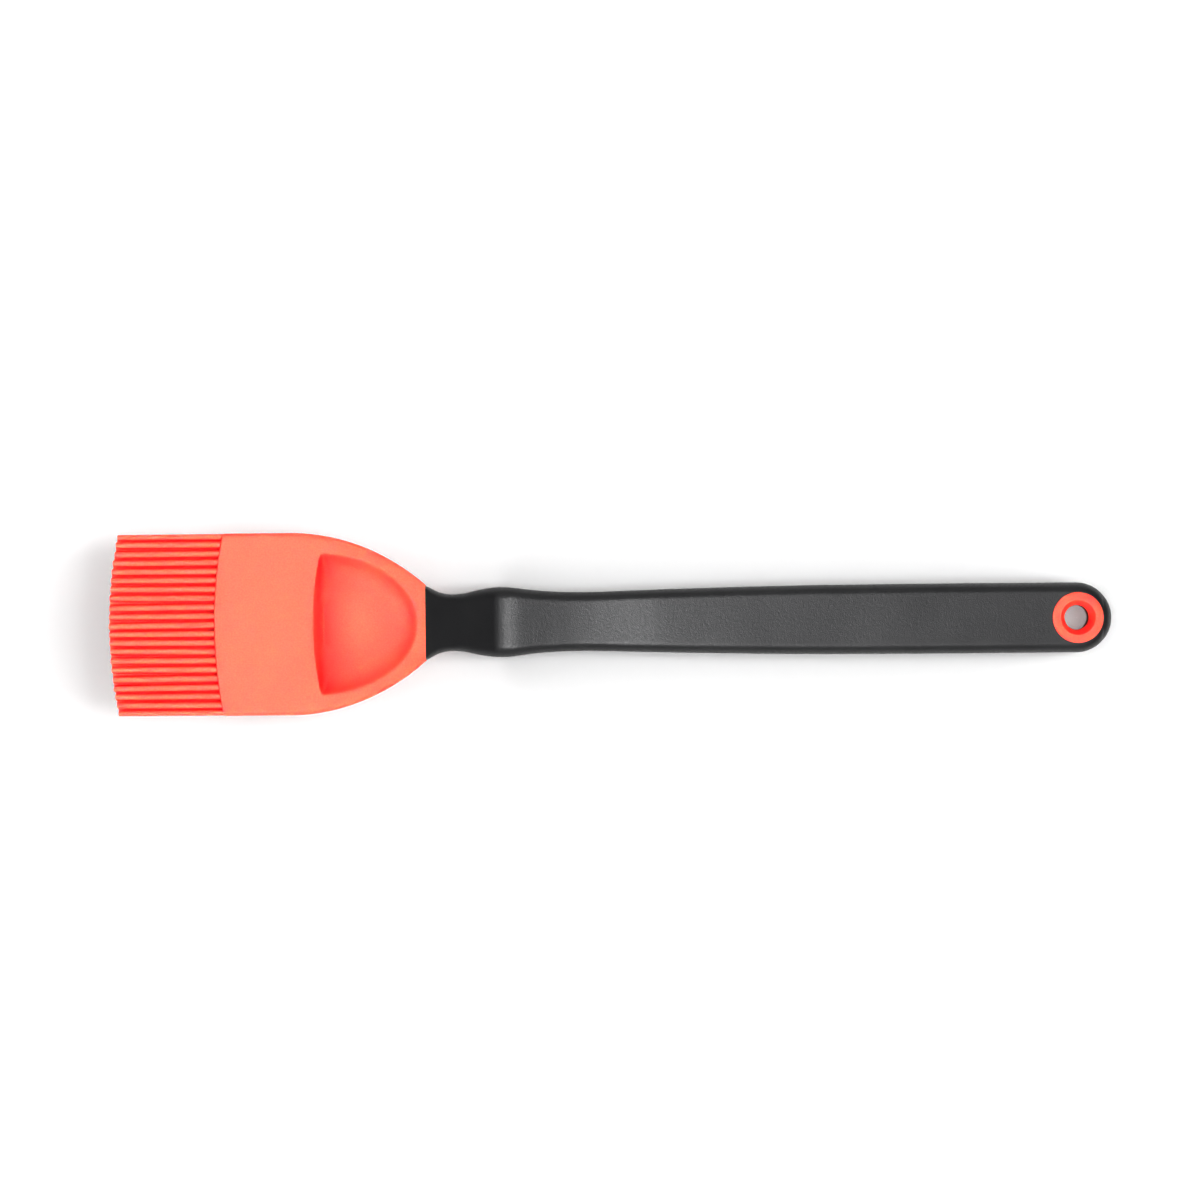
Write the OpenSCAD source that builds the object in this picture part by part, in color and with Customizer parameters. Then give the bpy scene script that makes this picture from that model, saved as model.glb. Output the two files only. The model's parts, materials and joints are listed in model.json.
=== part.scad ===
/* [Overall] */
// Length from the bristle tips to the far end of the grip
overall_l = 280; // [270:5:320]
// Height of the head's top face over the bench
head_top = 26; // [25.5:0.1:26.5]

/* [Head] */
// Width of the head
head_w = 50.5; // [49:0.5:55]
// Thickness of the head at the bristles
head_t = 11.5; // [11.3:0.1:12.5]
// Length of the head from the middle of its front face to the neck
head_l = 58.5; // [58:0.5:60]
// Depth of the scoop in the head's top face
scoop_d = 6.5; // [5:0.5:6.5]

/* [Bristles] */
// Free length of the middle bristles
bristle_l = 29.2; // [24:0.2:34]
// Diameter of a bristle at its root
bristle_d = 1.8; // [1.5:0.1:1.8]
// Bristles in each of the five rows
bristles_across = 21; // [19:1:21]

/* [Grip] */
// Width of the grip at its far end
grip_w = 19.7; // [19.2:0.1:21]
// Height of the grip's top face
grip_top = 12; // [11:0.5:12.5]
// How far the rounding of the grip's long edges reaches in from its sides
edge_w = 2.7; // [2:0.1:3]

/* [Hanging hole] */
// Bore of the hanging ring
hole_d = 7; // [6:0.5:7.5]
// Outer diameter of the hanging ring
ring_d = 14.4; // [14:0.1:15]

/* [Hidden] */
nylon = "#3b3b3d";
silicone = "#ff6a52";

// Datum lines along X, with the whole brush centred on the origin
tip_x = -overall_l / 2;
face_x = tip_x + bristle_l;
neck_x = face_x + head_l;
end_x = overall_l / 2;

// The front face and the line of the tips are arcs, seen from above
face_r = 130;
tip_r = 120;

// The flanks of the head curve in from its full width to the neck
flank_l = 39;
neck_half_w = 10.5;
flank_drop = head_w / 2 - neck_half_w;
flank_r = (flank_l ^ 2 + flank_drop ^ 2) / (2 * flank_drop);
// The top face and the underside fall away towards the neck
top_fall = 5;
low_fall = 2;
head_edge_r = 1.2;
head_keel_r = 3;

// The scoop is half an ellipse behind a front wall that bows towards the bristles
scoop_back_x = neck_x - 2.3;
scoop_front_x = neck_x - 31;
scoop_half_w = head_w / 2 - 5.6;
scoop_low_x = neck_x - 22;
scoop_front_r = 90;

// The nylon core inside the silicone head, which is at least a skin thick
skin_t = 1.2;
core_front_x = neck_x - 51;
window_l = 8;
window_w = 4;
window_step = 8;

// Five rows of bristles. Rows 2 and 4 sit between their neighbours, so that no gap goes straight through
rows = 5;
middle_row = (rows + 1) / 2;
row_step = (head_t - 2.7) / (rows - 1);
bristle_pitch = (head_w - 1) / (bristles_across - 1);
edge_bristle_r = 0.75;
edge_bristle_y = head_w / 2 - 0.85;
bristle_taper = 0.9;
root_gap = 0.15;

// The hanging ring is a spool whose waist sits in the grip
ring_waist_d = 12;
ring_lip_t = 1.6;
ring_proud = 0.2;
ring_recess = 0.3;
mouth_d = 9.6;
bore_l = 3;

// How far the pads reach under the bench before it trims them
pad_dip = -0.3;
// The far end is half round, and stops where its last section is still end_flat wide each way
end_flat = 0.8;
end_r = grip_w / 2;
end_cx = end_x - sqrt(end_r ^ 2 - end_flat ^ 2);

// The handle from the neck to the foot, as distance behind the head, half width,
// how far the edges are rounded in, and heights of the underside and of the top face
neck_keys = [
    [0, 10.2, 1.2, head_top - 12.8, head_top - 5.4],
    [2, 9.3, 1.7, head_top - 14, head_top - 6.6],
    [4, 8.4, 1.9, head_top - 15.2, head_top - 7.8],
    [7, 7.9, 1.9, 9, 16.4],
    [10, 8.1, 2.5, 7.1, 14.8],
    [14, 9, 3, 4.3, 12.6],
    [17.5, 9.6, 3.2, 1.4, 10.9],
    [19.2, 9.8, 3.4, 0.2, grip_top - 1.87],
    [20.3, 9.85, 3.4, pad_dip, grip_top - 2.08],
    [21.3, 9.85, 3.4, pad_dip, grip_top - 2.12],
    [22.4, 9.8, 3.3, pad_dip, grip_top - 2.06],
    [23.7, 9.7, 3.1, pad_dip, grip_top - 1.94],
    [25.5, 9.45, 2.9, pad_dip, grip_top - 1.87],
    [30, 8.9, edge_w, pad_dip, grip_top - 2],
    [35, 8.5, edge_w, 0.5, grip_top - 2.16],
    [40, 8.3, edge_w, 1, grip_top - 2.21],
    [45, 8.25, edge_w, 1.3, grip_top - 2.1],
    [50, 8.35, edge_w, 1.5, grip_top - 1.85],
    [55, 8.5, edge_w, 1.7, grip_top - 1.47],
    [60, 8.65, edge_w, 1.8, grip_top - 1],
    [65, 8.8, edge_w, 1.8, grip_top - 0.6],
    [70, 8.95, edge_w, 1.8, grip_top - 0.37],
    [77, 9.1, edge_w, 1.8, grip_top - 0.17],
    [88, 9.35, edge_w, 1.8, grip_top + 0.05],
    [100, 9.55, edge_w, 1.7, grip_top]
];
// The rest of the grip, as distance before its far end
grip_keys = [
    [80, 9.7, edge_w, 1.6, grip_top],
    [40, end_r, edge_w, 0.8, grip_top],
    [23, end_r, edge_w, pad_dip, grip_top],
    [0, end_r, edge_w, pad_dip, grip_top]
];
handle_keys = concat(
    [for (k = neck_keys) [neck_x + k[0], k[1], k[2], k[3], k[4]]],
    [for (k = grip_keys) [end_x - k[0], k[1], k[2], k[3], k[4]]]
);
// Shares of the handle's thickness that its lower and upper edges are rounded over
edge_shares = [0.34, 0.6];

// The core from its front edge to the neck, as distance behind the neck line,
// half width, and how far it is under the head's top face
core_keys = [
    [-51, 16, 4.5],
    [-49, 20.3, 3.5],
    [-36, 21, 3.5],
    [-34, 21, scoop_d + 1.5],
    [-16, 16.8, scoop_d + 0.8],
    [-9, 12, 5.5],
    [-5, 10, 3.3],
    [-2, 9.4, 1.9],
    [0, 9.2, 1.5]
];

// Steps round each corner of a section, round the scoop, and round a mouth of the ring
corner_steps = 4;
scoop_steps = 40;
mouth_steps = 5;

function span(t, i, c) = (t[i + 1][c] - t[i][c]) / (t[i + 1][0] - t[i][0]);

// Slope of column c at row i of a table, level where the table turns
function slope(t, i, c) =
    i == 0 || i == len(t) - 1 ? 0 :
    let (before = span(t, i - 1, c), after = span(t, i, c))
    before * after <= 0 ? 0 : 2 * before * after / (before + after);

function row_at(t, x, i = 0) = i >= len(t) - 2 || x < t[i + 1][0] ? i : row_at(t, x, i + 1);

// Value of column c at x, on a smooth curve through the rows of a table
function along(t, x, c) =
    let (
        i = row_at(t, x),
        h = t[i + 1][0] - t[i][0],
        u = (x - t[i][0]) / h,
        rise = t[i + 1][c] - t[i][c]
    )
    t[i][c] + rise * (3 * u ^ 2 - 2 * u ^ 3)
        + h * slope(t, i, c) * (u - 2 * u ^ 2 + u ^ 3)
        + h * slope(t, i + 1, c) * (u ^ 3 - u ^ 2);

// How far an arc of radius r falls back at y from its middle
function sag(r, y) = r - sqrt(r ^ 2 - y ^ 2);

// One corner of a section, in elliptical steps from a to a + 90 degrees
function corner(x, half_w, ry, rz, z, a) = [
    for (i = [0:corner_steps])
    let (t = a + i * 90 / corner_steps, side = cos(a + 45) > 0 ? 1 : -1)
    [x, side * (half_w - ry) + ry * cos(t), z + rz * sin(t)]
];

// A section across X: a rectangle whose lower and upper edges are rounded by ry and rz
function section(x, half_w, z_low, z_top, ry, rz) =
    concat(
        corner(x, half_w, ry[0], rz[0], z_low + rz[0], -90),
        corner(x, half_w, ry[1], rz[1], z_top - rz[1], 0),
        corner(x, half_w, ry[1], rz[1], z_top - rz[1], 90),
        corner(x, half_w, ry[0], rz[0], z_low + rz[0], 180)
    );

// A closed skin over rings of equal count, which turn anticlockwise seen from the last one
module skin(rings) {
    n = len(rings[0]);
    last = (len(rings) - 1) * n;
    sides = [
        for (i = [0:len(rings) - 2], j = [0:n - 1])
        let (a = i * n + j, b = i * n + (j + 1) % n)
        each [[a, a + n, b + n], [a, b + n, b]]
    ];
    first_cap = [for (j = [0:n - 1]) j];
    last_cap = [for (j = [n - 1:-1:0]) last + j];
    polyhedron(points = [for (r = rings) each r], faces = concat([first_cap], sides, [last_cap]));
}

// How far along the flank x lies, from 0 where it starts to 1 at the neck
function flank(x) = max(0, (x - neck_x + flank_l) / flank_l);
function head_half_w(x) = head_w / 2 - sag(flank_r, flank_l * flank(x));
function head_z_top(x) = head_top - top_fall * flank(x) ^ 2;
function head_z_low(x) = head_top - head_t - low_fall * flank(x) ^ 2;

function head_section(x) =
    let (
        keel = head_edge_r + (head_keel_r - head_edge_r) * min(1, flank(x)),
        r = [keel, head_edge_r]
    )
    section(x, head_half_w(x), head_z_low(x), head_z_top(x), r, r);

module head_block() {
    flank_steps = 18;
    skin(concat(
        [head_section(face_x - 1)],
        [for (i = [0:flank_steps]) head_section(neck_x - flank_l * (1 - i / flank_steps))]
    ));
}

// Outline of the scoop's rim: the front wall's arc, then half an ellipse round the back
scoop_corner_x = scoop_front_x + sag(scoop_front_r, scoop_half_w);
scoop_rim = concat(
    [
        for (i = [1:7])
        let (y = scoop_half_w * (1 - i / 4))
        [scoop_front_x + sag(scoop_front_r, y), y]
    ],
    [
        for (i = [0:scoop_steps])
        let (a = -90 + 180 * i / scoop_steps)
        [scoop_corner_x + (scoop_back_x - scoop_corner_x) * cos(a), scoop_half_w * sin(a)]
    ]
);

// The scoop falls steeply inside its rim, where s is 1, and gently to its lowest point, where s is 0
function scoop_fall(s) = scoop_d * (1 - (s ^ 1.6 + s ^ 9) / 2);
function scoop_ring(s, lift = 0) = [
    for (p = scoop_rim)
    let (x = scoop_low_x + s * (p[0] - scoop_low_x))
    [x, s * p[1], head_z_top(x) - scoop_fall(s) + lift]
];

module scoop() {
    skin(concat(
        [for (s = [0.06, 0.25, 0.45, 0.62, 0.75, 0.83, 0.89, 0.93, 0.97, 1]) scoop_ring(s)],
        [scoop_ring(1, 2)]
    ));
}

core_edge_r = 0.7;
function core_section(k) =
    let (x = neck_x + k[0], r = [core_edge_r, core_edge_r])
    section(x, k[1], head_z_low(x) + skin_t, head_z_top(x) - k[2], r, r);
core_rings = [for (k = core_keys) core_section(k)];

// Slots through the thick front of the core, which the silicone fills
module core_windows() {
    for (i = [-2:2])
        translate([core_front_x + 8, i * window_step, 0])
            linear_extrude(head_top)
                hull() {
                    translate([-(window_l - window_w) / 2, 0]) circle(d = window_w, $fn = 32);
                    translate([(window_l - window_w) / 2, 0]) circle(d = window_w, $fn = 32);
                }
}

module core_space() {
    past_neck = [for (p = core_rings[len(core_rings) - 1]) p + [2, 0, 0]];
    difference() {
        skin(concat(core_rings, [past_neck]));
        core_windows();
    }
}

module head() {
    color(silicone)
        difference() {
            intersection() {
                head_block();
                translate([face_x + face_r, 0, 0]) cylinder(r = face_r, h = 2 * head_top, $fn = 240);
            }
            scoop();
            core_space();
        }
}

function handle_section(x) =
    let (
        edge = along(handle_keys, x, 2),
        z_low = along(handle_keys, x, 3),
        z_top = along(handle_keys, x, 4)
    )
    section(x, along(handle_keys, x, 1), z_low, z_top, [edge, edge], edge_shares * (z_top - z_low));

// The round end: the same edges, followed round a half circle
function end_section(x) =
    let (
        out = x - end_cx,
        inner_r = end_r - edge_w,
        w = sqrt(end_r ^ 2 - out ^ 2),
        w_flat = out < inner_r ? sqrt(inner_r ^ 2 - out ^ 2) : 0,
        fall = out < inner_r ? 0 : 1 - sqrt(1 - ((out - inner_r) / edge_w) ^ 2),
        ry = w - w_flat,
        rz = edge_shares * (grip_top - pad_dip),
        z_low = pad_dip + fall * rz[0],
        z_top = grip_top - fall * rz[1]
    )
    section(x, w, z_low, z_top, [ry, ry], (1 - fall) * rz);

shoulder_x = neck_x + 30;
neck_step = 1.25;
grip_steps = 22;
end_steps = 9;
handle_rings = concat(
    [for (x = [neck_x:neck_step:shoulder_x - 0.1]) handle_section(x)],
    [for (i = [0:grip_steps - 1]) handle_section(shoulder_x + (end_cx - shoulder_x) * i / grip_steps)],
    [for (i = [0:end_steps]) end_section(end_cx + (end_x - end_cx) * sin(90 * i / end_steps))]
);

ring_top = grip_top + ring_proud;
ring_mid = (ring_top + ring_recess) / 2;

// The stepped hole that the hanging ring fills
module ring_seat() {
    translate([end_cx, 0, 0])
        rotate_extrude($fn = 96)
            polygon([
                [0, -2],
                [ring_d / 2, -2],
                [ring_d / 2, ring_recess + ring_lip_t],
                [ring_waist_d / 2, ring_recess + ring_lip_t],
                [ring_waist_d / 2, ring_top - ring_lip_t],
                [ring_d / 2, ring_top - ring_lip_t],
                [ring_d / 2, ring_top + 2],
                [0, ring_top + 2]
            ]);
}

module handle() {
    color(nylon)
        difference() {
            skin(concat(core_rings, handle_rings));
            core_windows();
            ring_seat();
            translate([-overall_l, -head_w, -5]) cube([2 * overall_l, 2 * head_w, 5]);
        }
}

// One rounded mouth of the ring's bore, in steps from angle a to b
function mouth(z, rz, a, b) = [
    for (i = [0:mouth_steps])
    let (t = a + (b - a) * i / mouth_steps)
    [mouth_d / 2 - (mouth_d - hole_d) / 2 * cos(t), z + rz * sin(t)]
];

module hang_ring() {
    mouth_h = (ring_top - ring_recess - bore_l) / 2;
    color(silicone)
        translate([end_cx, 0, 0])
            rotate_extrude($fn = 96)
                polygon(concat(
                    mouth(ring_mid - bore_l / 2, mouth_h, -90, 0),
                    mouth(ring_mid + bore_l / 2, mouth_h, 0, 90),
                    [
                        [ring_d / 2, ring_top],
                        [ring_d / 2, ring_top - ring_lip_t],
                        [ring_waist_d / 2, ring_top - ring_lip_t],
                        [ring_waist_d / 2, ring_recess + ring_lip_t],
                        [ring_d / 2, ring_recess + ring_lip_t],
                        [ring_d / 2, ring_recess]
                    ]
                ));
}

// A bristle along +Z, with a round root and a slightly rounded tip
module bristle(l, r) {
    end = r * bristle_taper;
    rotate_extrude($fn = 24)
        polygon(concat(
            [for (a = [0:30:90]) [r * sin(a), r - r * cos(a)]],
            [[end, l - 0.4], [0.6 * end, l], [0, l]]
        ));
}

// Row k of the bristles, counted from the bottom. A row between its neighbours has one bristle less
module bristle_row(k) {
    z = head_top - head_t / 2 + (k - middle_row) * row_step;
    between = k % 2 == 0;
    last = bristles_across - (between ? 2 : 1);
    color(silicone)
        for (i = [0:last]) {
            off = (i - last / 2) * bristle_pitch;
            at_edge = !between && (i == 0 || i == last);
            y = at_edge ? sign(off) * edge_bristle_y : off;
            root = face_x + sag(face_r, y) - root_gap;
            tip = tip_x + sag(tip_r, y);
            translate([root, y, z])
                rotate([0, -90, 0])
                    bristle(root - tip, at_edge ? edge_bristle_r : bristle_d / 2);
        }
}

handle();
head();
hang_ring();
bristle_row(1);  // bristle_row_1
bristle_row(2);  // bristle_row_2
bristle_row(3);  // bristle_row_3
bristle_row(4);  // bristle_row_4
bristle_row(5);  // bristle_row_5
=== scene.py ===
"""The looks of the pastry brush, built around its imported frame.

Shapes are worked out in millimetres in the frame's own axes, and become metres when a mesh is made:
+X from the bristle tips to the far end of the grip, +Z up from the bench.
"""
import json
import math
import random

import bmesh
import bpy
import numpy as np
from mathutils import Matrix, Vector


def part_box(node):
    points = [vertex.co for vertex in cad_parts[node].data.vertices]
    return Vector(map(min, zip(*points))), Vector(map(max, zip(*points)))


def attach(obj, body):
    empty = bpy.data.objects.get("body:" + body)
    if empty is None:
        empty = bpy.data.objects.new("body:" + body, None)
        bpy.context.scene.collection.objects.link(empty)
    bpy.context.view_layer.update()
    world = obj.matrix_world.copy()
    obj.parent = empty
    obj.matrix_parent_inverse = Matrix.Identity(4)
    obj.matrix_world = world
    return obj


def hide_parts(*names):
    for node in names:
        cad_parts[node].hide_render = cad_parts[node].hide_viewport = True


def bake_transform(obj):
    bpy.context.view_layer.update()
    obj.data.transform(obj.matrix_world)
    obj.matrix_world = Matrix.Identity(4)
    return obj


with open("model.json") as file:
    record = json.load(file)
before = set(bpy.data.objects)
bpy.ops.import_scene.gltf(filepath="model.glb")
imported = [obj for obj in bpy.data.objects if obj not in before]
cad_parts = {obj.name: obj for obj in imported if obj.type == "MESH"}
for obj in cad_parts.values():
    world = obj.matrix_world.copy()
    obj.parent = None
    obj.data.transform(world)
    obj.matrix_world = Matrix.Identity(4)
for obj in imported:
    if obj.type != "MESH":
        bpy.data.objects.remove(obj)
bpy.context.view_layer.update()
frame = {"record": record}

MM = 0.001
SEED = 7


def box_mm(node):
    """Lowest and highest corner of a CAD node, in millimetres."""
    low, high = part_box(node)
    return np.array(low) / MM, np.array(high) / MM


# ---------------------------------------------------------------- datum lines, from the frame

head_low, head_high = box_mm("head")
_, handle_high = box_mm("handle")
ring_low, ring_high = box_mm("hang_ring")
FACE_X = head_low[0]
NECK_X = head_high[0]
END_X = handle_high[0]
HEAD_W = head_high[1] - head_low[1]
HEAD_TOP = head_high[2]
RING_X = (ring_low[0] + ring_high[0]) / 2
RING_R = (ring_high[0] - ring_low[0]) / 2
RING_TOP = ring_high[2]
RING_LOW = ring_low[2]

# ---------------------------------------------------------------- shape constants, in millimetres

# The head: its front face and bristle tips are arcs, and its flanks curve in to the neck over FLANK_L
FACE_ARC_R = 130
TIP_ARC_R = 120
FLANK_L = 39
NECK_HALF_W = 10.5
# How far the head's top face and underside fall from the flanks' start to the neck
TOP_FALL = 5
LOW_FALL = 2
HEAD_T = HEAD_TOP - head_low[2] - LOW_FALL
HEAD_EDGE_R = 1.3
HEAD_KEEL_R = 3
FACE_EDGE_R = 0.5

# The scoop: half an ellipse behind a curved front wall, deepest at SCOOP_LOW_X
SCOOP_D = 6.7
SCOOP_FRONT_X = NECK_X - 31
SCOOP_BACK_X = NECK_X - 2.3
SCOOP_HALF_W = HEAD_W / 2 - 5.6
SCOOP_FRONT_ARC_R = 90
SCOOP_CENTRE_X = NECK_X - 30.7
SCOOP_LOW_X = NECK_X - 22
# Its depth is a gentle bowl, plus a share that drops steeply at the rim
SCOOP_FLOOR_POWER = 1.6
SCOOP_RIM_POWER = 7
SCOOP_FLOOR_SHARE = 0.35
WALL_L = 6
WALL_D = 8
WALL_POWER = 3.2
# How widely the front wall blends into the bowl, in the middle and more towards the corners
FILLET_MIDDLE = 0.3
FILLET_MORE = 2.6
FILLET_Y = (4, 9)
# How widely the scoop blends into the top face, at the front wall and more behind it
RIM_FRONT = 0.5
RIM_MORE = 0.9
RIM_L = 12

# The grip: its edges are superellipses EDGE_W wide that take these shares of its thickness
GRIP_TOP = 12
PAD_Z = 0
EDGE_W = 2.7
EDGE_SHARE_LOW = 0.34
EDGE_SHARE_TOP = 0.6
EDGE_POWER = 2.6
GRIP_HALF_W = 9.83
CORE_IN = 1.5
SHOULDER_L = 34
END_GAP = 0.02

# The hanging ring
BORE_R = 3.5
MOUTH_R = 4.75
BORE_EDGE_R = 1.5
MOUTH_EDGE_R = 0.25
LIP_R = 0.3

# The bristles
BRISTLE_GAPS = 20
BRISTLE_SINK = 0.4
BRISTLE_TAPER = 0.9
BRISTLE_TIP_R = 0.3
SIDE_BRISTLE_R = 0.75
SIDE_BRISTLE_IN = 0.85

SHARP_ANGLE = math.radians(38)


def sag(r, y):
    """How far an arc of radius r falls back at y from its middle."""
    return r - np.sqrt(r * r - y * y)


def smooth_min(a, b, k):
    """The lower of a and b, with their crossing rounded over a width k."""
    h = np.maximum(k - np.abs(a - b), 0) / k
    return np.minimum(a, b) - h * h * k / 4


def smooth_max(a, b, k):
    """The higher of a and b, with their crossing rounded over a width k."""
    return -smooth_min(-a, -b, k)


def smooth_step(a, b, x):
    """Rises from 0 at a to 1 at b."""
    t = np.clip((x - a) / (b - a), 0, 1)
    return t * t * (3 - 2 * t)


# ---------------------------------------------------------------- meshes

def add_mesh(name, points, faces, materials):
    """A smooth-shaded object from points in millimetres and faces."""
    mesh = bpy.data.meshes.new(name)
    mesh.from_pydata((np.asarray(points) * MM).tolist(), [], faces)
    work = bmesh.new()
    work.from_mesh(mesh)
    bmesh.ops.recalc_face_normals(work, faces=work.faces)
    work.to_mesh(mesh)
    work.free()
    mesh.shade_smooth()
    mesh.set_sharp_from_angle(angle=SHARP_ANGLE)
    obj = bpy.data.objects.new(name, mesh)
    bpy.context.scene.collection.objects.link(obj)
    for material in materials:
        mesh.materials.append(material)
    return obj


def ring_quads(rings, n, offset=0):
    """Quads over closed rings of n points, whose first point is number offset."""
    faces = []
    for i in range(rings - 1):
        a = offset + i * n
        for j in range(n):
            k = (j + 1) % n
            faces.append((a + j, a + k, a + n + k, a + n + j))
    return faces


def loft_faces(rings, n):
    """Quads over closed rings whose point j faces point n - 1 - j, with both ends closed."""
    faces = ring_quads(rings, n)
    for start in (0, (rings - 1) * n):
        for j in range(n // 2 - 1):
            faces.append((start + j, start + j + 1, start + n - 2 - j, start + n - 1 - j))
    return faces


def half_section(half_w, edge, corner_steps, flat_steps):
    """Across one face of a section: y, and how far each point falls at the rounded edges."""
    angles = np.linspace(0, math.pi / 2, corner_steps + 1)
    flat = np.linspace(-(half_w - edge), half_w - edge, flat_steps + 1)
    left = -half_w + edge * (1 - np.cos(angles))[:-1]
    right = (half_w - edge * (1 - np.cos(angles)))[:-1][::-1]
    y = np.concatenate([left, flat, right])
    fall_left = edge * (1 - np.sin(angles))[:-1]
    fall = np.concatenate([fall_left, np.zeros(flat_steps + 1), fall_left[::-1]])
    return y, fall


# ---------------------------------------------------------------- the head

def flank(x):
    """How far along the flanks x is: 0 before they start, 1 at the neck."""
    return np.maximum(0, (x - NECK_X + FLANK_L) / FLANK_L)


def head_half_w(x):
    """Half the head's width at x."""
    drop = HEAD_W / 2 - NECK_HALF_W
    r = (FLANK_L ** 2 + drop ** 2) / (2 * drop)
    return HEAD_W / 2 - sag(r, FLANK_L * flank(x))


def head_z_top(x):
    """Height of the head's top face at x."""
    return HEAD_TOP - TOP_FALL * flank(x) ** 2


def head_z_low(x):
    """Height of the head's underside at x."""
    return HEAD_TOP - HEAD_T - LOW_FALL * flank(x) ** 2


def scoop_depth(x, y):
    """How far the scoop lies under the head's top face.

    s is 0 at the scoop's lowest point and 1 on its elliptical rim, along a straight line between them.
    """
    centre = SCOOP_CENTRE_X - SCOOP_LOW_X
    a = SCOOP_BACK_X - SCOOP_CENTRE_X
    b = SCOOP_HALF_W
    behind_low = x - SCOOP_LOW_X
    qa = 1 - (centre / a) ** 2
    qb = 2 * behind_low * centre / a ** 2
    qc = (behind_low / a) ** 2 + (y / b) ** 2
    s = (-qb + np.sqrt(qb ** 2 + 4 * qa * qc)) / (2 * qa)
    rise = SCOOP_FLOOR_SHARE * s ** SCOOP_FLOOR_POWER + (1 - SCOOP_FLOOR_SHARE) * s ** SCOOP_RIM_POWER
    dish = SCOOP_D * (1 - rise)
    behind = x - SCOOP_FRONT_X - sag(SCOOP_FRONT_ARC_R, y)
    share = np.clip(1 - behind / WALL_L, 0, None)
    wall = np.where(behind < WALL_L, WALL_D * (1 - share ** WALL_POWER), WALL_D)
    fillet = FILLET_MIDDLE + FILLET_MORE * smooth_step(*FILLET_Y, np.abs(y))
    cut = smooth_min(dish, wall, fillet)
    rim = RIM_FRONT + RIM_MORE * smooth_step(0, RIM_L, behind)
    return smooth_max(cut, 0, rim)


def make_head(materials):
    """Rings across X that follow the front face's arc, with the scoop sunk into their top faces."""
    corner_steps, flat_steps = 7, 150
    step = 0.3
    depth = NECK_X - FACE_X
    face_angles = [math.radians(a) for a in (0, 22.5, 45, 67.5, 90)]
    start = [FACE_EDGE_R * (1 - math.cos(a)) / depth for a in face_angles]
    insets = [FACE_EDGE_R * (1 - math.sin(a)) for a in face_angles]
    rest = np.linspace(start[-1], 1, int(depth / step))[1:]
    shares = start + list(rest)
    insets += [0] * len(rest)
    points = []
    for share, inset in zip(shares, insets):
        x_mid = FACE_X + share * depth
        half_w = head_half_w(x_mid) - inset
        edge = HEAD_EDGE_R - inset
        y, fall = half_section(half_w, edge, corner_steps, flat_steps)
        x = x_mid + sag(FACE_ARC_R, y) * (1 - share)
        top = head_z_top(x) - scoop_depth(x, y) - inset - fall
        keel = HEAD_EDGE_R + (HEAD_KEEL_R - HEAD_EDGE_R) * min(1, float(flank(x_mid))) - inset
        y_low, fall_low = half_section(half_w, keel, corner_steps, flat_steps)
        x_low = x_mid + sag(FACE_ARC_R, y_low) * (1 - share)
        low = head_z_low(x_low) + inset + fall_low
        points.append(np.stack([x, y, top], 1))
        points.append(np.stack([x_low, y_low, low], 1)[::-1])
    n = 2 * (2 * corner_steps + flat_steps + 1)
    return add_mesh("head_silicone", np.concatenate(points), loft_faces(len(shares), n), materials)


# ---------------------------------------------------------------- the handle

# From inside the head, down the neck and over the knuckle to the middle of the grip: distance behind the
# head, half width, how far the edges are rounded in, and heights of the underside and of the top face
NECK_KEYS = [
    (-CORE_IN, 10.2, 1.2, 13.4, 20.8),
    (0, 10.2, 1.2, 13.2, 20.6),
    (2, 9.3, 1.7, 12, 19.4),
    (4, 8.4, 1.9, 10.8, 18.2),
    (7, 7.9, 1.9, 9, 16.4),
    (10, 8.1, 2.5, 7.1, 14.8),
    (14, 9, 3, 4.3, 12.6),
    (17.5, 9.6, 3.2, 1.4, 10.9),
    (19.2, 9.8, 3.4, 0.2, GRIP_TOP - 1.87),
    (20.3, 9.83, 3.4, PAD_Z, GRIP_TOP - 2.08),
    (21.3, 9.83, 3.4, PAD_Z, GRIP_TOP - 2.12),
    (22.4, 9.8, 3.3, PAD_Z, GRIP_TOP - 2.06),
    (23.7, 9.7, 3.1, PAD_Z, GRIP_TOP - 1.94),
    (25.5, 9.45, 2.9, PAD_Z, GRIP_TOP - 1.87),
    (30, 8.9, EDGE_W, PAD_Z, GRIP_TOP - 2.03),
    (35, 8.5, EDGE_W, 0.5, GRIP_TOP - 2.22),
    (40, 8.3, EDGE_W, 1, GRIP_TOP - 2.29),
    (45, 8.25, EDGE_W, 1.3, GRIP_TOP - 2.17),
    (50, 8.35, EDGE_W, 1.5, GRIP_TOP - 1.88),
    (55, 8.5, EDGE_W, 1.7, GRIP_TOP - 1.47),
    (60, 8.65, EDGE_W, 1.8, GRIP_TOP - 1),
    (65, 8.8, EDGE_W, 1.8, GRIP_TOP - 0.6),
    (70, 8.95, EDGE_W, 1.8, GRIP_TOP - 0.37),
    (77, 9.1, EDGE_W, 1.8, GRIP_TOP - 0.17),
    (88, 9.35, EDGE_W, 1.8, GRIP_TOP + 0.05),
    (100, 9.55, EDGE_W, 1.7, GRIP_TOP),
]
# The rest of the grip, in the same columns, but by distance before its far end
GRIP_KEYS = [
    (80, 9.7, EDGE_W, 1.6, GRIP_TOP),
    (40, GRIP_HALF_W, EDGE_W, 0.8, GRIP_TOP),
    (23, GRIP_HALF_W, EDGE_W, PAD_Z, GRIP_TOP),
    (0, GRIP_HALF_W, EDGE_W, PAD_Z, GRIP_TOP),
]
HANDLE_KEYS = [(NECK_X + k[0], *k[1:]) for k in NECK_KEYS] + [(END_X - k[0], *k[1:]) for k in GRIP_KEYS]


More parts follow.
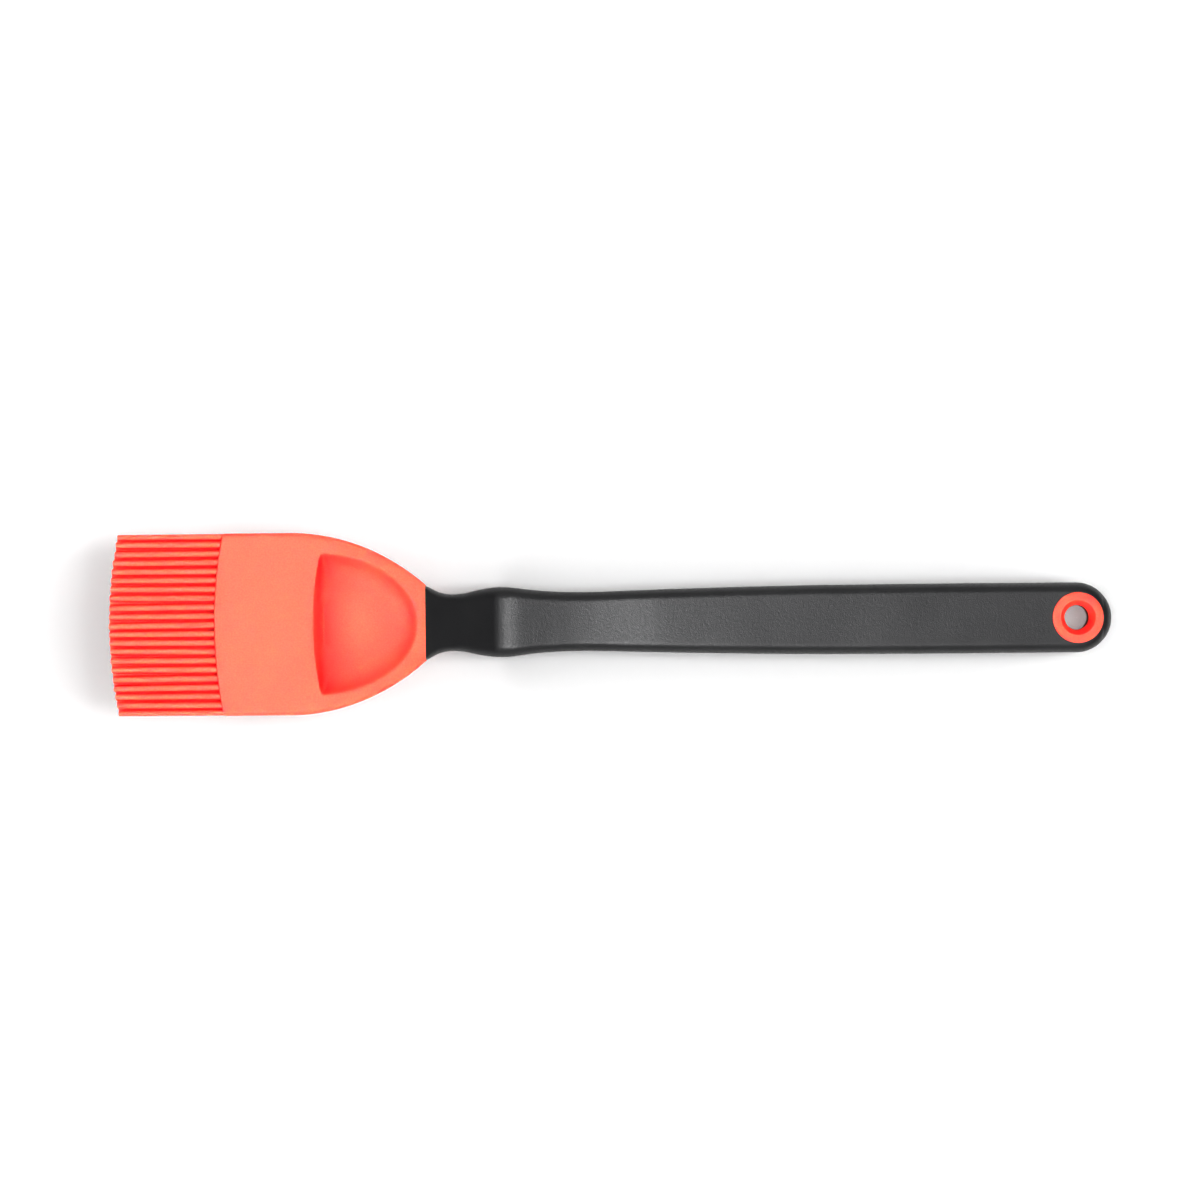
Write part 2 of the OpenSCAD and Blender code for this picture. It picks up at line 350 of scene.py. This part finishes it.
def along(keys, x, column):
    """Value of a column at x, on a smooth curve through the rows, level where the column turns."""
    xs = np.array([k[0] for k in keys], float)
    vs = np.array([k[column] for k in keys], float)
    spans = np.diff(vs) / np.diff(xs)
    slopes = np.zeros(len(xs))
    for i in range(1, len(xs) - 1):
        before, after = spans[i - 1], spans[i]
        if before * after > 0:
            slopes[i] = 2 * before * after / (before + after)
    i = int(np.clip(np.searchsorted(xs, x, side="right") - 1, 0, len(xs) - 2))
    h = xs[i + 1] - xs[i]
    u = (x - xs[i]) / h
    rise = vs[i + 1] - vs[i]
    curve = rise * (3 * u ** 2 - 2 * u ** 3)
    return vs[i] + curve + h * slopes[i] * (u - 2 * u ** 2 + u ** 3) + h * slopes[i + 1] * (u ** 3 - u ** 2)


def rounded_section(x, half_w, edge, z_low, z_top, share=1.0):
    """A ring across X: over the top and back underneath, with edges whose height share scales."""
    corner_steps, flat_steps = 12, 30
    thick = z_top - z_low
    parts = []
    for side, z_edge, part in ((1, z_top, EDGE_SHARE_TOP), (-1, z_low, EDGE_SHARE_LOW)):
        rise = part * thick * share
        angles = np.linspace(0, math.pi / 2, corner_steps + 1)
        z_corner = z_edge - side * rise * (1 - np.sin(angles))
        w_corner = half_w - edge * (1 - np.cos(angles) ** (2 / EDGE_POWER))
        flat = np.linspace(-w_corner[-1], w_corner[-1], flat_steps + 1)
        y = np.concatenate([-w_corner[:-1], flat, w_corner[:-1][::-1]])
        z = np.concatenate([z_corner[:-1], np.full(flat_steps + 1, z_edge), z_corner[:-1][::-1]])
        parts.append(np.stack([np.full(len(y), x), y, z], 1))
    return np.concatenate([parts[0], parts[1][::-1]])


def handle_section(x):
    """The handle's ring at x."""
    return rounded_section(x, *[along(HANDLE_KEYS, x, column) for column in (1, 2, 3, 4)])


def end_section(x):
    """The round end: the same edges, followed round a half circle."""
    least_w, least_edge = 0.2, 0.05
    out = x - RING_X
    inner_r = GRIP_HALF_W - EDGE_W
    w = math.sqrt(max(GRIP_HALF_W ** 2 - out ** 2, least_w ** 2))
    w_flat = math.sqrt(inner_r ** 2 - out ** 2) if out < inner_r else least_edge
    fall = 1 - math.sqrt(1 - ((out - inner_r) / EDGE_W) ** EDGE_POWER) if out > inner_r else 0
    thick = GRIP_TOP - PAD_Z
    z_low = PAD_Z + fall * EDGE_SHARE_LOW * thick
    z_top = GRIP_TOP - fall * EDGE_SHARE_TOP * thick
    share = (1 - fall) * thick / (z_top - z_low)
    return rounded_section(x, w, max(w - w_flat, least_edge), z_low, z_top, share)


def make_handle(materials):
    """Rings across X, closer together over the neck and knuckle, with the round end and the ring's seat."""
    neck_step, grip_step, end_steps = 0.35, 0.8, 40
    shoulder = NECK_X + SHOULDER_L
    neck_xs = np.arange(NECK_X - CORE_IN, shoulder, neck_step)
    grip_xs = np.arange(shoulder, RING_X, grip_step)
    rings = [handle_section(x) for x in [*neck_xs, *grip_xs]]
    reach = GRIP_HALF_W - END_GAP
    turns = [math.pi / 2 * i / end_steps for i in range(end_steps + 1)]
    rings += [end_section(RING_X + reach * math.sin(turn)) for turn in turns]
    n = len(rings[0])
    handle = add_mesh("handle_nylon", np.concatenate(rings), loft_faces(len(rings), n), materials)
    cut_seat(handle)
    return handle


def cut_seat(handle):
    """Cuts the round seat that the hanging ring fills."""
    low, high, axis_r = -2, GRIP_TOP + 2, 0.01
    seat = lathe("seat", [(axis_r, low), (RING_R, low), (RING_R, high), (axis_r, high)], 96, [])
    cut = handle.modifiers.new("seat", "BOOLEAN")
    cut.operation = "DIFFERENCE"
    cut.solver = "EXACT"
    cut.object = seat
    apply_modifiers(handle)
    bpy.data.objects.remove(seat)
    handle.data.set_sharp_from_angle(angle=SHARP_ANGLE)


def apply_modifiers(obj):
    """Puts the object's modified mesh in place of its own."""
    graph = bpy.context.evaluated_depsgraph_get()
    mesh = bpy.data.meshes.new_from_object(obj.evaluated_get(graph))
    old = obj.data
    obj.modifiers.clear()
    obj.data = mesh
    bpy.data.meshes.remove(old)


# ---------------------------------------------------------------- the hanging ring

def lathe(name, profile, steps, materials):
    """A closed solid turned round the ring's axis from a closed profile of radius and height."""
    points = []
    for i in range(steps):
        a = 2 * math.pi * i / steps
        points += [(RING_X + r * math.cos(a), r * math.sin(a), z) for r, z in profile]
    n = len(profile)
    faces = []
    for i in range(steps):
        a, b = i * n, (i + 1) % steps * n
        for j in range(n):
            k = (j + 1) % n
            faces.append((a + j, a + k, b + k, b + j))
    return add_mesh(name, points, faces, materials)


def arc(cx, cz, r, start, end, steps):
    """Points of an arc, by its centre, radius and angles in degrees."""
    turn = [math.radians(start + (end - start) * i / steps) for i in range(steps + 1)]
    return [(cx + r * math.cos(t), cz + r * math.sin(t)) for t in turn]


def make_ring(materials):
    """The eyelet: a flat rim, crisp mouths, and a steep throat down to the bore."""
    middle = (RING_TOP + RING_LOW) / 2
    lip_x = RING_R - END_GAP - LIP_R
    mouth_x = MOUTH_R + MOUTH_EDGE_R
    bore_x = BORE_R + BORE_EDGE_R
    profile = []
    profile += arc(lip_x, RING_TOP - LIP_R, LIP_R, 0, 90, 5)
    profile += arc(mouth_x, RING_TOP - MOUTH_EDGE_R, MOUTH_EDGE_R, 90, 165, 5)
    profile += arc(bore_x, middle + BORE_EDGE_R, BORE_EDGE_R, 165, 180, 3)
    profile += arc(bore_x, middle - BORE_EDGE_R, BORE_EDGE_R, 180, 195, 3)
    profile += arc(mouth_x, RING_LOW + MOUTH_EDGE_R, MOUTH_EDGE_R, 195, 270, 5)
    profile += arc(lip_x, RING_LOW + LIP_R, LIP_R, 270, 360, 5)
    return lathe("hang_ring_silicone", profile, 128, materials)


# ---------------------------------------------------------------- the bristles

def bristle_points(root, tip, y, z, r_root, r_tip, sway, droop):
    """Rings along one bristle. sway is its drift in Y as (slant, curl, phase), and droop its fall in Z."""
    sides, steps = 14, 26
    slant, curl, phase = sway
    turn = np.linspace(0, 2 * math.pi, sides, endpoint=False)
    length = root - tip
    shares = [i / steps * (1 - BRISTLE_TIP_R / length) for i in range(steps + 1)]
    radii = [r_root + (r_tip - r_root) * s for s in shares]
    for a in (30, 60, 80):
        shares.append(1 - BRISTLE_TIP_R * (1 - math.sin(math.radians(a))) / length)
        radii.append(r_tip - BRISTLE_TIP_R * (1 - math.cos(math.radians(a))))
    points = []
    for s, r in zip(shares, radii):
        cy = y + slant * s + curl * s * math.sin(2 * math.pi * s + phase)
        cz = z + droop * s * s
        ring = np.stack([np.full(sides, root - s * length), cy + r * np.cos(turn), cz + r * np.sin(turn)], 1)
        points.append(ring)
    return points


def bristle_faces(rings, n, offset):
    """Quads along one bristle, whose first point is number offset, with both ends closed."""
    faces = ring_quads(rings, n, offset)
    faces.append(tuple(range(offset, offset + n)))
    faces.append(tuple(range(offset + (rings - 1) * n, offset + rings * n)))
    return faces


def make_bristle_row(k, materials, rng):
    """Row k, counted from the bottom. Even rows are set between their neighbours.

    Bristles that stand side by side lean alike, and each row leans its own way. The outermost are straight.
    """
    low, high = box_mm(f"bristle_row_{k}")
    between = k % 2 == 0
    across = BRISTLE_GAPS if between else BRISTLE_GAPS + 1
    pitch = (HEAD_W - 1) / BRISTLE_GAPS
    z = (low[2] + high[2]) / 2
    r_root = (high[2] - low[2]) / 2
    phase = rng.uniform(0, 6.3)
    points, faces = [], []
    for i in range(across):
        y = (i - (across - 1) / 2) * pitch
        r = r_root
        slant = 0.16 * math.sin(0.9 * i + phase) + rng.uniform(-0.14, 0.14)
        sway = (slant, rng.uniform(-0.03, 0.03), rng.uniform(0, 6.3))
        if i in (0, across - 1) and not between:
            r = SIDE_BRISTLE_R
            y = math.copysign(HEAD_W / 2 - SIDE_BRISTLE_IN, y)
            sway = (0, 0, 0)
        root = FACE_X + sag(FACE_ARC_R, y) + BRISTLE_SINK
        tip = low[0] + sag(TIP_ARC_R, y) + rng.uniform(0, 0.12)
        rings = bristle_points(root, tip, y, z, r, r * BRISTLE_TAPER, sway, rng.uniform(-0.1, 0.1))
        faces += bristle_faces(len(rings), len(rings[0]), len(points) * len(rings[0]))
        points += rings
    return add_mesh(f"bristles_{k}_silicone", np.concatenate(points), faces, materials)


# ---------------------------------------------------------------- materials

CORAL_LIGHT = (1.0, 0.191, 0.137)
CORAL_DARK = (0.96, 0.157, 0.111)
# Painted shade: the deep red that the silicone's base colour is painted where nearby surfaces hide it
PAINTED_SHADE_RED = (0.8, 0.014, 0.032, 1)
NYLON_LIGHT = (0.031, 0.031, 0.032)
NYLON_DARK = (0.025, 0.025, 0.026)
FLOOR_LIGHT = (0.141, 0.141, 0.141)
FLOOR_DARK = (0.133, 0.133, 0.133)


def new_material(name):
    """A material with its node tree and its main shader."""
    material = bpy.data.materials.new(name)
    material.use_nodes = True
    tree = material.node_tree
    return material, tree, tree.nodes["Principled BSDF"]


def add_node(tree, kind, **settings):
    """A node with the given properties."""
    node = tree.nodes.new(kind)
    for key, value in settings.items():
        setattr(node, key, value)
    return node


def noise(tree, scale, detail=2.0, roughness=0.5):
    """Noise in object space. scale is in cells per metre."""
    node = add_node(tree, "ShaderNodeTexNoise")
    node.inputs["Scale"].default_value = scale
    node.inputs["Detail"].default_value = detail
    node.inputs["Roughness"].default_value = roughness
    coords = add_node(tree, "ShaderNodeTexCoord")
    tree.links.new(coords.outputs["Object"], node.inputs["Vector"])
    return node.outputs["Fac"]


def ramp(tree, factor, stops):
    """Colour by factor, through stops of position and colour."""
    node = add_node(tree, "ShaderNodeValToRGB")
    elements = node.color_ramp.elements
    while len(elements) < len(stops):
        elements.new(0.5)
    for element, (position, colour) in zip(elements, stops):
        element.position = position
        element.color = (*colour, 1)
    tree.links.new(factor, node.inputs["Fac"])
    return node.outputs["Color"]


def map_range(tree, value, low, high, to_low, to_high):
    """Brings value from the range low to high to the range to_low to to_high, and holds it there."""
    node = add_node(tree, "ShaderNodeMapRange")
    node.inputs["From Min"].default_value = low
    node.inputs["From Max"].default_value = high
    node.inputs["To Min"].default_value = to_low
    node.inputs["To Max"].default_value = to_high
    tree.links.new(value, node.inputs["Value"])
    return node.outputs["Result"]


def bump(tree, height, distance, strength, normal=None):
    """A surface roughened by height, over any roughness that normal already has."""
    node = add_node(tree, "ShaderNodeBump")
    node.inputs["Distance"].default_value = distance
    node.inputs["Strength"].default_value = strength
    tree.links.new(height, node.inputs["Height"])
    if normal is not None:
        tree.links.new(normal, node.inputs["Normal"])
    return node.outputs["Normal"]


def silicone(name, shade_reach, shade_from, shade_to):
    """Matt coral silicone that lets red light through, with a fine mottle.

    Painted shade: where surfaces within shade_reach metres hide it, the base colour is painted towards deep
    red, standing in for the shade in the scoop, the hollows and the gaps between bristles. It is deep red at
    an openness of shade_from, and plain coral at shade_to.
    """
    material, tree, shader = new_material(name)
    mottle = noise(tree, 2300, 2.0, 0.6)
    open_tone = ramp(tree, mottle, [(0.3, CORAL_DARK), (0.7, CORAL_LIGHT)])
    # Painted shade: ambient occlusion mixes the base colour towards deep red in hollows and gaps
    shade = add_node(tree, "ShaderNodeAmbientOcclusion", samples=8)
    shade.inputs["Distance"].default_value = shade_reach
    open_share = map_range(tree, shade.outputs["AO"], shade_from, shade_to, 0.0, 1.0)
    base = add_node(tree, "ShaderNodeMix", data_type="RGBA")
    tree.links.new(open_share, base.inputs["Factor"])
    base.inputs["A"].default_value = PAINTED_SHADE_RED
    tree.links.new(open_tone, base.inputs["B"])
    tree.links.new(base.outputs["Result"], shader.inputs["Base Color"])
    tree.links.new(map_range(tree, mottle, 0.3, 0.7, 0.54, 0.7), shader.inputs["Roughness"])
    tree.links.new(bump(tree, mottle, 0.00007, 0.8), shader.inputs["Normal"])
    shader.inputs["IOR"].default_value = 1.4
    shader.inputs["Subsurface Weight"].default_value = 1.0
    shader.inputs["Subsurface Radius"].default_value = (1.0, 0.06, 0.14)
    shader.inputs["Subsurface Scale"].default_value = 0.004
    return material


def nylon():
    """Dark moulded nylon with a fine spark-eroded grain."""
    material, tree, shader = new_material("moulded_nylon")
    grain = noise(tree, 3600, 2.0, 0.6)
    pits = noise(tree, 1300, 1.0)
    cloud = noise(tree, 45, 2.0)
    base = ramp(tree, cloud, [(0.3, NYLON_DARK), (0.7, NYLON_LIGHT)])
    tree.links.new(base, shader.inputs["Base Color"])
    tree.links.new(map_range(tree, pits, 0.3, 0.7, 0.3, 0.42), shader.inputs["Roughness"])
    fine = bump(tree, grain, 0.00007, 0.9)
    tree.links.new(bump(tree, pits, 0.00006, 0.6, fine), shader.inputs["Normal"])
    shader.inputs["IOR"].default_value = 1.5
    return material


def floor_paint():
    """Plain matt paint that varies a little over metres."""
    material, tree, shader = new_material("floor_paint")
    tone = ramp(tree, noise(tree, 3, 2.0), [(0.3, FLOOR_DARK), (0.7, FLOOR_LIGHT)])
    tree.links.new(tone, shader.inputs["Base Color"])
    shader.inputs["Roughness"].default_value = 0.8
    return material


# ---------------------------------------------------------------- studio

CAMERA_PLACE = (-0.0037, 0.006, 1.4)
CAMERA_TURN = math.radians(-0.48)
CAMERA_LENS = 148.7
FLOOR_HALF = 4
FLOOR_GAP = 0.00005
WORLD_LIGHT = 0.12
BACKDROP_LIGHT = 1.2
LIGHT_DISTANCE = 2.4
BEAM_R = 0.0045
# Softboxes for the floor: degrees round from +X, degrees up, size in metres, and radiance
FLOOR_LIGHTS = [
    (0, 90, (2, 2), 4),
    (0, 60, (1.2, 1.2), 25),
    (0, 30, (1.2, 0.8), 28),
    (180, 30, (1.2, 0.8), 26),
    (90, 45, (1.2, 1), 5),
    (270, 45, (1.2, 1), 7),
    (0, 11, (1.9, 0.8), 76),
    (90, 11, (1.9, 0.8), 27),
    (135, 11, (1.9, 0.8), 58),
    (180, 11, (1.9, 0.8), 20),
    (225, 11, (1.9, 0.8), 52),
    (270, 11, (1.9, 0.8), 23),
]


def make_camera():
    """Straight over the brush, turned a little so that the grip climbs to the right."""
    data = bpy.data.cameras.new("camera")
    data.sensor_width = 36
    data.lens = CAMERA_LENS
    camera = bpy.data.objects.new("camera", data)
    camera.location = CAMERA_PLACE
    camera.rotation_euler = (0, 0, CAMERA_TURN)
    bpy.context.scene.collection.objects.link(camera)
    bpy.context.scene.camera = camera


def make_floor():
    """The bench: a plain square a hair under the brush."""
    mesh = bpy.data.meshes.new("floor")
    half = FLOOR_HALF
    corners = [(-half, -half, 0), (half, -half, 0), (half, half, 0), (-half, half, 0)]
    mesh.from_pydata(corners, [], [(0, 1, 2, 3)])
    floor = bpy.data.objects.new("floor", mesh)
    floor.location.z = -FLOOR_GAP
    bpy.context.scene.collection.objects.link(floor)
    mesh.materials.append(floor_paint())
    return floor


def lean(x, y):
    """Direction that leans from straight up by degrees towards +X and +Y."""
    return Vector((math.tan(math.radians(x)), math.tan(math.radians(y)), 1)).normalized()


def aim(turn, height):
    """Direction by degrees round from +X and degrees up."""
    turn, height = math.radians(turn), math.radians(height)
    return Vector((math.cos(turn) * math.cos(height), math.sin(turn) * math.cos(height), math.sin(height)))


def add_softbox(name, towards, size, radiance):
    """A rectangular light LIGHT_DISTANCE away that shines on the origin."""
    data = bpy.data.lights.new(name, "AREA")
    data.shape = "RECTANGLE"
    data.size, data.size_y = size
    data.energy = radiance * math.pi * size[0] * size[1]
    light = bpy.data.objects.new(name, data)
    light.location = towards * LIGHT_DISTANCE
    light.rotation_euler = towards.to_track_quat("Z", "Y").to_euler()
    bpy.context.scene.collection.objects.link(light)
    return light


def add_hole_beam(height, energy):
    """A narrow beam straight down through the hanging hole, so that the bench shows light inside it."""
    x, y, _ = next(m["pos_m"] for m in frame["record"]["mounts"] if m["name"] == "hang_hole")
    data = bpy.data.lights.new("hole_beam", "SPOT")
    data.spot_size = 2 * math.atan(BEAM_R / height)
    data.spot_blend = 0
    data.shadow_soft_size = 0.001
    data.energy = energy
    light = bpy.data.objects.new("hole_beam", data)
    light.location = (x, y, height)
    light.visible_camera = False
    bpy.context.scene.collection.objects.link(light)
    return light


def light_floor_only(light, floor):
    """Keeps the light off everything but the floor."""
    group = bpy.data.collections.new("lit_floor")
    group.objects.link(floor)
    light.light_linking.receiver_collection = group


def light_all_but_floor(light, floor):
    """Keeps the light off the floor."""
    group = bpy.data.collections.new("lit_object")
    group.objects.link(floor)
    group.collection_objects[0].light_linking.link_state = "EXCLUDE"
    light.light_linking.receiver_collection = group


def light_matt_object(light, floor):
    """Lights the object, without showing in its sheen."""
    light.visible_glossy = False
    light_all_but_floor(light, floor)


def light_sheen(light, floor):
    """Shows only in the object's sheen."""
    light.visible_diffuse = False
    light_all_but_floor(light, floor)


def make_world():
    """A dim room, with a white backdrop where the camera sees past the floor."""
    world = bpy.data.worlds.new("studio")
    world.use_nodes = True
    tree = world.node_tree
    room = tree.nodes["Background"]
    room.inputs["Color"].default_value = (1, 1, 1, 1)
    room.inputs["Strength"].default_value = WORLD_LIGHT
    backdrop = add_node(tree, "ShaderNodeBackground")
    backdrop.inputs["Color"].default_value = (1, 1, 1, 1)
    backdrop.inputs["Strength"].default_value = BACKDROP_LIGHT
    mix = add_node(tree, "ShaderNodeMixShader")
    tree.links.new(add_node(tree, "ShaderNodeLightPath").outputs["Is Camera Ray"], mix.inputs["Fac"])
    tree.links.new(room.outputs["Background"], mix.inputs[1])
    tree.links.new(backdrop.outputs["Background"], mix.inputs[2])
    tree.links.new(mix.outputs["Shader"], tree.nodes["World Output"].inputs["Surface"])
    bpy.context.scene.world = world


make_camera()
floor = make_floor()
make_world()
light_matt_object(add_softbox("soft_key", lean(4, -7), (1.8, 1.8), 17), floor)
light_sheen(add_softbox("sheen_key", lean(-25, -12), (1.7, 1.6), 14.5), floor)
light_sheen(add_softbox("sheen_top", lean(4, 0), (1, 1.4), 1.1), floor)
light_sheen(add_softbox("sheen_back", lean(0, 60), (1.6, 0.9), 3), floor)
light_sheen(add_softbox("sheen_front", lean(0, -60), (1.6, 0.9), 3), floor)
for i, (turn, height, size, radiance) in enumerate(FLOOR_LIGHTS):
    light_floor_only(add_softbox(f"floor_{i}", aim(turn, height), size, radiance), floor)
light_floor_only(add_hole_beam(0.25, 6.5), floor)
bpy.context.scene.view_settings.view_transform = "Standard"
bpy.context.scene.view_settings.gamma = 0.6

# ---------------------------------------------------------------- assembly

rng = random.Random(SEED)
# Each silicone paints shade into its base colour where nearby surfaces hide it, over its own reach and range
head_coral = silicone("head_silicone", shade_reach=0.012, shade_from=0.65, shade_to=0.99)
ring_coral = silicone("ring_silicone", shade_reach=0.004, shade_from=-0.3, shade_to=1.3)
bristle_coral = silicone("bristle_silicone", shade_reach=0.003, shade_from=0.24, shade_to=0.72)
dark = nylon()

head = make_head([head_coral])
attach(head, "brush")
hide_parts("head")

handle = make_handle([dark])
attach(handle, "brush")
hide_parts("handle")

ring = make_ring([ring_coral])
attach(ring, "brush")
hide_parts("hang_ring")

for row in range(1, 6):
    bristles = make_bristle_row(row, [bristle_coral], rng)
    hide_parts(f"bristle_row_{row}")
    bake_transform(bristles)
